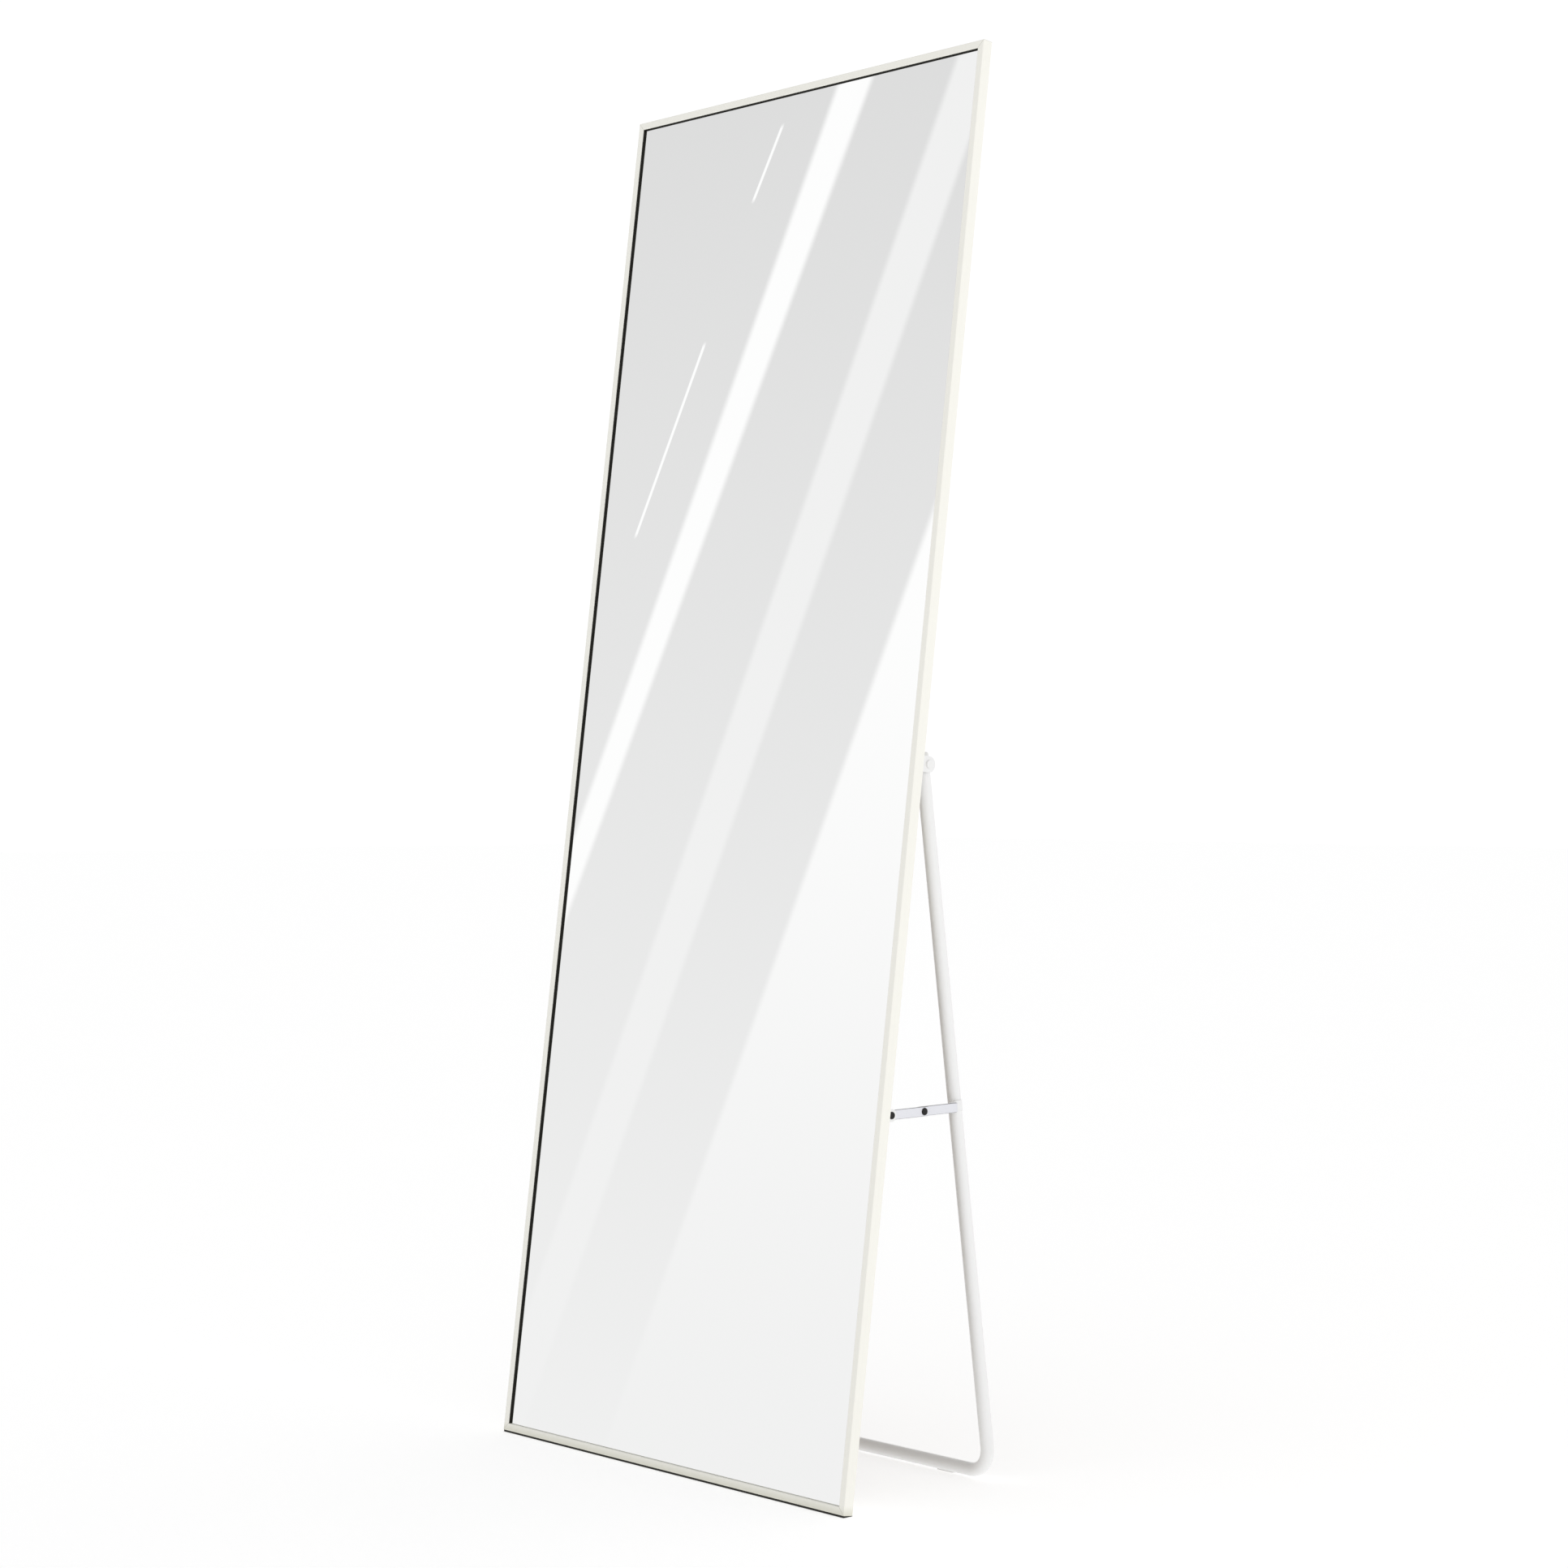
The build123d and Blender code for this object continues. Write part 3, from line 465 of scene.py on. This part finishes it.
# grey-backed film over the silvering, with the weave of its scrim showing through
def filmFinish(graph, film=scrim):
    spot = graph.place()
    warp = graph.split(spot)[0].wave(film["threadTurn"])
    weave = warp.most(graph.fromFoot(spot, upPanel).wave(film["threadTurn"]))
    return {"Base Color": graph.tint(weave * film["threadShow"], film["film"], film["thread"]),
            "Roughness": graph.dullness(spot, film["rough"]),
            "Normal": graph.bump(weave, film["weave"], film["weaveDeep"])}


rubber = {
    # the seal's near-black is painted shade where it lines the glass recess; on the bumpers it is their own
    # black rubber
    "seal": {"tone": rgb(0.009, 0.009, 0.006), "bloom": rgb(0.020, 0.019, 0.015), "rough": 0.60},
    # the strip's near-black is its own rubber and also painted shade for the dark gap under the bottom lip
    "stripAndShade": {"tone": rgb(0.009, 0.009, 0.006), "bloom": rgb(0.020, 0.019, 0.015), "rough": 0.60,
              "ribPitch": 0.0022},
    "whiteRubber": {"tone": rgb(0.80, 0.80, 0.79), "bloom": rgb(0.72, 0.72, 0.70), "rough": 0.50},
    "bloomScale": 140.0, "bloomDetail": 4.0, "bloomRough": 0.6, "bloomDull": 0.2, "skinScale": 1800.0,
    "shine": 0.22, "skin": (0.15, 0.0001), "rib": (0.35, 0.0004), "ribShow": 0.5, "skinOnRib": 0.25,
}


# moulded rubber with a dull bloom, and with grip ribs if its kind has a pitch for them
def rubberFinish(graph, name, look=rubber):
    kind = look[name]
    spot = graph.place()
    bloom = graph.noise(spot, look["bloomScale"], look["bloomDetail"], look["bloomRough"])
    colour = graph.tint(bloom, kind["tone"], kind["bloom"])
    height = graph.noise(spot, look["skinScale"])
    strength, deep = look["skin"]
    if "ribPitch" in kind:
        wave = graph.fromFoot(spot, backPanel).wave(2 * math.pi / kind["ribPitch"])
        height = height * look["skinOnRib"] + wave
        colour = graph.tint(wave * look["ribShow"], colour, kind["bloom"])
        strength, deep = look["rib"]
    return {"Base Color": colour, "Roughness": bloom * look["bloomDull"] + kind["rough"],
            "Specular IOR Level": look["shine"], "Normal": graph.bump(height, strength, deep)}


steel = {
    "zinc": {"tone": rgb(0.62, 0.63, 0.65), "shade": rgb(0.50, 0.52, 0.55), "rough": 0.26,
             "grain": 260.0, "metal": 1.0, "shine": 0.5},
    "black": {"tone": rgb(0.006, 0.006, 0.007), "shade": rgb(0.016, 0.015, 0.015), "rough": 0.38,
              "grain": 600.0, "metal": 0.15, "shine": 0.25, "rubbed": rgb(0.10, 0.09, 0.09)},
    "rub": {"scale": 900.0, "detail": 2.0, "from": 0.66, "to": 0.74}, "rubShow": 0.25,
    "cloudScale": 0.6, "cloudShow": 0.7, "patchShow": 0.3, "patchDull": 0.12, "bump": (0.12, 0.0001),
}


# plated steel: zinc shows its crystal patches, black oxide also shows rubbed spots
def steelFinish(graph, plating, look=steel):
    kind = look[plating]
    spot = graph.place()
    patch = graph.cells(spot, kind["grain"])
    cloud = graph.noise(spot, kind["grain"] * look["cloudScale"], 3.0)
    colour = graph.tint(cloud * look["cloudShow"] + patch * look["patchShow"], kind["tone"], kind["shade"])
    if "rubbed" in kind:
        colour = graph.tint(graph.patches(spot, look["rub"]) * look["rubShow"], colour, kind["rubbed"])
    return {"Base Color": colour, "Metallic": kind["metal"], "Specular IOR Level": kind["shine"],
            "Roughness": patch * look["patchDull"] + kind["rough"],
            "Normal": graph.bump(cloud, *look["bump"])}


hardboard = {
    "tone": rgb(0.150, 0.108, 0.074), "fibre": rgb(0.245, 0.185, 0.132), "fibreScale": (260.0, 260.0, 900.0),
    "broad": rgb(0.200, 0.150, 0.105), "broadScale": 3.0, "broadShow": 0.3,
    "mottle": {"scale": 110.0, "detail": 4.0, "rough": 0.65, "from": 0.45, "to": 0.70},
    "mottleTone": rgb(0.265, 0.205, 0.150), "mottleShow": 0.22,
    "fleck": {"scale": 700.0, "detail": 3.0, "rough": 0.7, "from": 0.62, "to": 0.72},
    "fleckTone": rgb(0.085, 0.055, 0.035), "fleckShow": 0.5,
    "screenTurn": 3900.0, "screen": rgb(0.11, 0.075, 0.05), "screenShow": 0.18, "screenDeep": 0.8,
    "fibreDeep": 0.6, "bump": (0.35, 0.0003), "rough": 0.62, "fibreDull": 0.15, "shine": 0.25,
}


# wet-process hardboard: warm brown fibre, with the print of the wire screen on its back
def boardFinish(graph, board=hardboard):
    spot = graph.place()
    up = graph.fromFoot(spot, upPanel)
    screen = graph.split(spot)[0].sine(board["screenTurn"]) * up.sine(board["screenTurn"]) * 0.5 + 0.5
    fibre = graph.noise(spot, board["fibreScale"], 5.0, 0.7)
    broad = graph.noise(spot, board["broadScale"], 3.0)
    colour = graph.tint(fibre, board["tone"], board["fibre"])
    colour = graph.tint(broad * board["broadShow"], colour, board["broad"])
    for spots in ("mottle", "fleck"):
        show = graph.patches(spot, board[spots]) * board[spots + "Show"]
        colour = graph.tint(show, colour, board[spots + "Tone"])
    colour = graph.tint(screen * board["screenShow"], colour, board["screen"])
    height = fibre * board["fibreDeep"] - screen * board["screenDeep"]
    return {"Base Color": colour, "Roughness": fibre * board["fibreDull"] + board["rough"],
            "Specular IOR Level": board["shine"], "Normal": graph.bump(height, *board["bump"])}


flutedCard = {
    "tone": rgb(0.42, 0.29, 0.17), "fibre": rgb(0.53, 0.38, 0.24), "fibreScale": (400.0, 400.0, 120.0),
    "fluteTurn": 1250.0, "fibreDeep": 0.3, "bump": (0.3, 0.0004), "rough": 0.78, "fibreDull": 0.1,
}


# kraft-faced card, with the lines of its flutes
def cardboardFinish(graph, sheet=flutedCard):
    spot = graph.place()
    fibre = graph.noise(spot, sheet["fibreScale"], 4.0, 0.7)
    height = graph.split(spot)[0].wave(sheet["fluteTurn"]) + fibre * sheet["fibreDeep"]
    return {"Base Color": graph.tint(fibre, sheet["tone"], sheet["fibre"]),
            "Roughness": fibre * sheet["fibreDull"] + sheet["rough"],
            "Normal": graph.bump(height, *sheet["bump"])}


foam = {"skin": rgb(0.74, 0.74, 0.72), "pore": rgb(0.55, 0.55, 0.53), "cell": 1500.0, "rough": 0.7,
        "poreDull": 0.2, "bump": (0.4, 0.0003)}


# closed-cell foam tape
def tapeFinish(graph, tape=foam):
    cell = graph.cells(graph.place(), tape["cell"])
    return {"Base Color": graph.tint(cell, tape["skin"], tape["pore"]),
            "Roughness": cell * tape["poreDull"] + tape["rough"],
            "Normal": graph.bump(cell, *tape["bump"])}


nylon = {"tone": rgb(0.83, 0.83, 0.81), "shade": rgb(0.78, 0.78, 0.76), "shadeScale": 40.0,
         "grainScale": 2200.0, "rough": 0.40, "grainDull": 0.15, "shine": 0.4, "bump": (0.2, 0.0001)}


# moulded nylon with a fine spark-eroded grain
def nylonFinish(graph, look=nylon):
    spot = graph.place()
    grain = graph.noise(spot, look["grainScale"], 3.0, 0.6)
    return {"Base Color": graph.tint(graph.noise(spot, look["shadeScale"]), look["tone"], look["shade"]),
            "Roughness": grain * look["grainDull"] + look["rough"], "Specular IOR Level": look["shine"],
            "Normal": graph.bump(grain, *look["bump"])}


finishes = {
    "frame": finish("cream_powder_coat", frameFinish),
    "stand": finish("white_powder_coat", standFinish),
    "link": finish("grey_stoved_paint", linkFinish),
    "mirror": finish("silvered_glass_face", mirrorFinish),
    "film": finish("scrim_film", filmFinish),
    "seal": finish("black_rubber_and_painted_shade", lambda graph: rubberFinish(graph, "seal")),
    "stripAndShade": finish("ribbed_grip_rubber_and_shade", lambda graph: rubberFinish(graph, "stripAndShade")),
    "whiteRubber": finish("white_pad_rubber", lambda graph: rubberFinish(graph, "whiteRubber")),
    "zinc": finish("zinc_plated_steel", lambda graph: steelFinish(graph, "zinc")),
    "black": finish("black_oxide_steel", lambda graph: steelFinish(graph, "black")),
    "board": finish("brown_hardboard", boardFinish),
    "cardboard": finish("fluted_card", cardboardFinish),
    "tape": finish("foam_tape_skin", tapeFinish),
    "nylon": finish("white_nylon", nylonFinish),
}
print("finishes mixed:", len(finishes))

finishOfSlot = {
    "powder_coated_frame": "frame", "powder_coated_steel": "stand", "link_paint": "link",
    "black_rivet": "black", "zinc_steel": "zinc", "silvered_glass": "mirror", "safety_film": "film",
    "dark_rubber": "stripAndShade", "grey_gasket": "seal", "white_rubber": "whiteRubber", "foam_tape": "tape",
    "cardboard": "cardboard", "hardboard": "board", "white_plastic": "nylon",
}

# these share a slot with other parts: the bumpers are moulded smooth and the pins painted over
finishOfPart = {"folded_stand_bumpers": "seal", "left_hinge_pin": "stand", "right_hinge_pin": "stand"}

for name, made in nodes.items():
    for holder in made.material_slots:
        slotName = holder.material.name.split(".")[0]
        holder.material = finishes[finishOfPart.get(name, finishOfSlot[slotName])]
print("parts painted:", len(nodes))


def newTree(name, inputs):
    tree = bpy.data.node_groups.new(name, "GeometryNodeTree")
    tree.interface.new_socket("Geometry", in_out="INPUT", socket_type="NodeSocketGeometry")
    for label, kind in inputs:
        tree.interface.new_socket(label, in_out="INPUT", socket_type=kind)
    tree.interface.new_socket("Geometry", in_out="OUTPUT", socket_type="NodeSocketGeometry")
    graph = Graph(tree)
    entry = graph.node("NodeGroupInput")
    return graph, {socket.name: Wire(graph, socket) for socket in entry.outputs if socket.name}


def endTree(graph, geometry, material):
    real = graph.add("GeometryNodeRealizeInstances", values={0: geometry})
    painted = graph.add("GeometryNodeSetMaterial", values={"Geometry": real, "Material": material})
    graph.node("NodeGroupOutput", values={0: painted})
    return graph.tree


# runs a tree on a few points or edges and keeps the result as a plain mesh
def runTree(name, tree, points, edges, values):
    mesh = bpy.data.meshes.new(name + "_line")
    mesh.from_pydata([tuple(point) for point in points], edges, [])
    start = bpy.data.objects.new(name + "_line", mesh)
    scene.collection.objects.link(start)
    modifier = start.modifiers.new("maker", "NODES")
    modifier.node_group = tree
    for item in tree.interface.items_tree:
        if item.in_out == "INPUT" and item.name in values:
            modifier[item.identifier] = values[item.name]
    seen = start.evaluated_get(bpy.context.evaluated_depsgraph_get())
    result = bpy.data.meshes.new_from_object(seen)
    result.name = name
    bpy.data.objects.remove(start)
    made = bpy.data.objects.new(name, result)
    scene.collection.objects.link(made)
    return made


floatSocket, intSocket = "NodeSocketFloat", "NodeSocketInt"
vectorSocket, materialSocket = "NodeSocketVector", "NodeSocketMaterial"


# the stand is one tube bent to a U, from above one hinge down to the floor and up to the other
tube = {"radius": 0.0075, "bend": 0.030, "aboveHinge": 0.010, "legX": 0.274, "around": 40, "bendSteps": 20}


def tubeTree():
    graph, inputs = newTree("bent_tube", [
        ("Radius", floatSocket), ("Bend", floatSocket), ("Bend Steps", intSocket), ("Around", intSocket),
        ("Material", materialSocket)])
    line = graph.add("GeometryNodeMeshToCurve", values={0: inputs["Geometry"]})
    bent = graph.add("GeometryNodeFilletCurve", {"mode": "POLY"},
                     {"Curve": line, "Count": inputs["Bend Steps"], "Radius": inputs["Bend"]})
    ring = graph.add("GeometryNodeCurvePrimitiveCircle", {"mode": "RADIUS"},
                     {"Resolution": inputs["Around"], "Radius": inputs["Radius"]})
    skin = graph.add("GeometryNodeCurveToMesh", values={"Curve": bent, "Profile Curve": ring})
    soft = graph.add("GeometryNodeSetShadeSmooth", values={0: skin})
    return endTree(graph, soft, inputs["Material"])


def makeTube(settings):
    low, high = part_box("stand_tube")
    hinge = Vector(next(joint["pos_m"] for joint in frame["joints"] if joint["name"] == "stand_fold"))
    bar = Vector((0, high[1] - settings["radius"], low[2] + settings["radius"]))
    leg = (bar - Vector((0, hinge[1], hinge[2]))).normalized()
    top = Vector((0, hinge[1], hinge[2])) - leg * settings["aboveHinge"]
    side = Vector((settings["legX"], 0, 0))
    made = runTree("stand_tube_coated", tubeTree(), [top - side, bar - side, bar + side, top + side],
                   [(0, 1), (1, 2), (2, 3)],
                   {"Radius": settings["radius"], "Bend": settings["bend"], "Around": settings["around"],
                    "Bend Steps": settings["bendSteps"], "Material": finishes["stand"]})
    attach(made, "stand")
    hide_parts("stand_tube")
    return leg, top


# pan-head screws with a cross recess, each turned as far as it happened to tighten
screw = {"headRadius": 0.0036, "headHeight": 0.0020, "shankRadius": 0.0018, "slotWide": 0.0011,
         "slotLong": 0.0042, "slotDeep": 0.0011, "around": 24, "domeRings": 12, "shankAround": 12,
         "rimShare": 0.5, "domeShare": 0.48, "domeFit": 0.985, "sharpDeg": 32}


def screwTree(shape):
    graph, inputs = newTree("pan_head_screws", [
        ("Head Radius", floatSocket), ("Head Height", floatSocket), ("Shank Radius", floatSocket),
        ("Shank Length", floatSocket), ("Slot Wide", floatSocket), ("Slot Long", floatSocket),
        ("Slot Deep", floatSocket), ("Around", intSocket), ("Axis", vectorSocket), ("Seed", intSocket),
        ("Material", materialSocket)])
    height, radius = inputs["Head Height"], inputs["Head Radius"]

    def lifted(mesh, amount):
        offset = graph.add("ShaderNodeCombineXYZ", values={2: amount})
        return graph.add("GeometryNodeTransform", values={"Geometry": mesh, "Translation": offset})

    # the rim is the lower share of the head, and a flat dome sits on it; a screw's top is at height zero
    rim = graph.add("GeometryNodeMeshCylinder", {"fill_type": "NGON"},
                    {"Vertices": inputs["Around"], "Radius": radius, "Depth": height * shape["rimShare"]})
    rim = lifted(rim, height * (shape["rimShare"] / 2 - 1))
    ball = graph.add("GeometryNodeMeshUVSphere",
                     values={"Segments": inputs["Around"], "Rings": shape["domeRings"], "Radius": radius})
    wide, high = shape["domeFit"], height * shape["domeShare"] / radius
    flat = graph.add("ShaderNodeCombineXYZ", values={0: wide, 1: wide, 2: high})
    dome = graph.add("GeometryNodeTransform", values={"Geometry": ball, "Scale": flat})
    dome = lifted(dome, height * (shape["rimShare"] - 1))
    union = graph.node("GeometryNodeMeshBoolean", {"operation": "UNION", "solver": "EXACT"})
    solid = graph.gather(union, "Mesh 2", [rim, dome])
    slots = []
    for longSide, shortSide in [("Slot Long", "Slot Wide"), ("Slot Wide", "Slot Long")]:
        size = graph.add("ShaderNodeCombineXYZ",
                         values={0: inputs[longSide], 1: inputs[shortSide], 2: inputs["Slot Deep"] * 2.0})
        slots.append(graph.add("GeometryNodeMeshCube", values={"Size": size}))
    carve = graph.node("GeometryNodeMeshBoolean", {"operation": "DIFFERENCE", "solver": "EXACT"},
                       {"Mesh 1": solid})
    head = graph.gather(carve, "Mesh 2", slots)
    shank = graph.add("GeometryNodeMeshCylinder", {"fill_type": "NGON"},
                      {"Vertices": shape["shankAround"], "Radius": inputs["Shank Radius"],
                       "Depth": inputs["Shank Length"]})
    shank = lifted(shank, (inputs["Shank Length"] * 0.5 + height) * -1.0)
    whole = graph.gather(graph.node("GeometryNodeJoinGeometry"), 0, [shank, head])
    square = graph.add("FunctionNodeAlignRotationToVector", {"axis": "Z"}, {"Vector": inputs["Axis"]})
    spin = graph.add("FunctionNodeRandomValue", {"data_type": "FLOAT"},
                     {2: 0.0, 3: 2 * math.pi, "Seed": inputs["Seed"]}, output=1)
    angle = graph.add("ShaderNodeCombineXYZ", values={2: spin})
    turn = graph.add("FunctionNodeEulerToRotation", values={0: angle})
    both = graph.add("FunctionNodeRotateRotation", {"rotation_space": "LOCAL"}, {0: square, 1: turn})
    many = graph.add("GeometryNodeInstanceOnPoints",
                     values={"Points": inputs["Geometry"], "Instance": whole, "Rotation": both})
    return endTree(graph, many, inputs["Material"])


sameSpot = 1e-6          # corners closer than this are one corner


# the separate closed shapes in a CAD part, as lists of points
def looseShapes(part):
    copy = bmesh.new()
    copy.from_mesh(part.data)
    bmesh.ops.remove_doubles(copy, verts=copy.verts, dist=sameSpot)
    left = set(copy.verts)
    shapes = []
    while left:
        edge = [left.pop()]
        shape = []
        while edge:
            point = edge.pop()
            shape.append(point.co.copy())
            for line in point.link_edges:
                other = line.other_vert(point)
                if other in left:
                    left.remove(other)
                    edge.append(other)
        shapes.append(shape)
    copy.free()
    return shapes


def makeScrews(settings):
    tree = screwTree(settings)
    jobs = ["corner_key_screws", "hinge_bracket_screws", "stay_bracket_screws", "board_clip_screws",
            "wall_hanger_screws"]
    for seed, job in enumerate(jobs):
        tops = []
        for shape in looseShapes(nodes[job]):
            x = [point[0] for point in shape]
            up = [point.dot(upPanel) for point in shape]
            back = [point.dot(backPanel) for point in shape]
            centre = Vector(((min(x) + max(x)) / 2, 0, 0)) + upPanel * ((min(up) + max(up)) / 2)
            tops.append(centre + backPanel * max(back))
            length = max(back) - min(back)
        made = runTree(job + "_cross_head", tree, tops, [], {
            "Head Radius": settings["headRadius"], "Head Height": settings["headHeight"],
            "Shank Radius": settings["shankRadius"], "Shank Length": length - settings["headHeight"],
            "Slot Wide": settings["slotWide"], "Slot Long": settings["slotLong"],
            "Slot Deep": settings["slotDeep"], "Around": settings["around"], "Axis": backPanel, "Seed": seed,
            "Material": finishes["zinc"]})
        made.data.shade_smooth()
        made.data.set_sharp_from_angle(angle=math.radians(settings["sharpDeg"]))
        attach(made, "mirror_panel")
        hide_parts(job)
        print("screws set:", job, len(tops))


# short fillet welds, laid as a row of overlapping puddles, where each stay lug meets its leg
weld = {"puddle": 0.0010, "count": 14, "halfLong": 0.0054, "out": 0.0068, "lines": (-0.0044, 0.0034),
        "smallest": (0.85, 0.85, 0.55), "largest": (1.10, 1.10, 0.80), "fineness": 3, "seed": 11}


def weldTree(shape):
    graph, inputs = newTree("weld_puddles", [
        ("Puddle", floatSocket), ("Count", intSocket), ("Along", vectorSocket), ("Seed", intSocket),
        ("Material", materialSocket)])
    line = graph.add("GeometryNodeMeshToCurve", values={0: inputs["Geometry"]})
    steps = graph.add("GeometryNodeResampleCurve", {"mode": "COUNT"},
                      {"Curve": line, "Count": inputs["Count"]})
    drop = graph.add("GeometryNodeMeshIcoSphere",
                     values={"Radius": inputs["Puddle"], "Subdivisions": shape["fineness"]})
    turn = graph.add("FunctionNodeAlignRotationToVector", {"axis": "Z"}, {"Vector": inputs["Along"]})
    scale = graph.add("FunctionNodeRandomValue", {"data_type": "FLOAT_VECTOR"},
                      {0: shape["smallest"], 1: shape["largest"], "Seed": inputs["Seed"]})
    many = graph.add("GeometryNodeInstanceOnPoints",
                     values={"Points": steps, "Instance": drop, "Rotation": turn, "Scale": scale})
    soft = graph.add("GeometryNodeSetShadeSmooth", values={0: many})
    return endTree(graph, soft, inputs["Material"])


def makeWelds(settings, leg, top):
    tree = weldTree(settings)
    across = Vector((0, -leg[2], leg[1]))                          # points backwards, square to the leg
    for seed, (side, sign) in enumerate((("left", -1), ("right", 1))):
        low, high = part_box(side + "_stay_lug")
        reach = ((low[2] + high[2]) / 2 - top[2]) / leg[2]
        spot = top + leg * reach
        points = []
        edges = []
        for offset in settings["lines"]:
            middle = spot + Vector((sign * (tube["legX"] + settings["out"]), 0, 0)) + across * offset
            edges.append((len(points), len(points) + 1))
            points += [middle - leg * settings["halfLong"], middle + leg * settings["halfLong"]]
        made = runTree(side + "_lug_welds", tree, points, edges, {
            "Puddle": settings["puddle"], "Count": settings["count"], "Along": leg,
            "Seed": settings["seed"] + seed, "Material": finishes["stand"]})
        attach(made, "stand")


legWay, legTop = makeTube(tube)
print("tube bent")
makeWelds(weld, legWay, legTop)
print("lugs welded")
makeScrews(screw)
